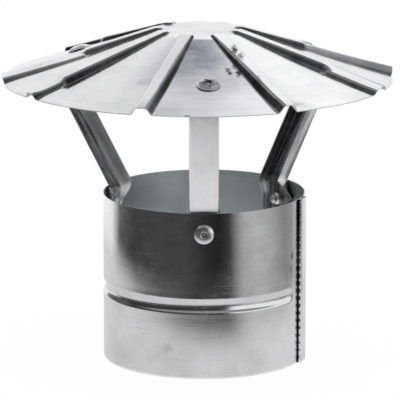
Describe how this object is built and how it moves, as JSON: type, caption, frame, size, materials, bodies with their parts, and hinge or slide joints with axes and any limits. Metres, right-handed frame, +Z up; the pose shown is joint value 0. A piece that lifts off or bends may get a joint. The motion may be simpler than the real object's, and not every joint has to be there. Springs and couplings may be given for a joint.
{
  "type": "chimney cap",
  "caption": "Galvanised sheet-steel chimney cap with a pleated conical hat riveted on channel straps above a lock-seamed collar with a rolled bead.",
  "frame": {"origin": "centre of the collar's lower end, on the axis of its bore", "axes": "+Z up along the collar's axis, -Y towards the front strap, +X towards the lock seam's side"},
  "size_m": [0.1931, 0.1925, 0.166],
  "materials": {
    "galvanised": "bright galvanised sheet with faint spangle",
    "rivet_metal": "satin",
    "mandrel_metal": "dull zinc"
  },
  "bodies": {
    "root": {"hat": "galvanised", "collar": "galvanised", "strap_front": "galvanised", "strap_left": "galvanised", "strap_right": "galvanised", "hat_rivets": "rivet_metal", "collar_rivets": "rivet_metal", "hat_rivet_mandrels": "mandrel_metal", "collar_rivet_mandrels": "mandrel_metal"}
  },
  "joints": []
}
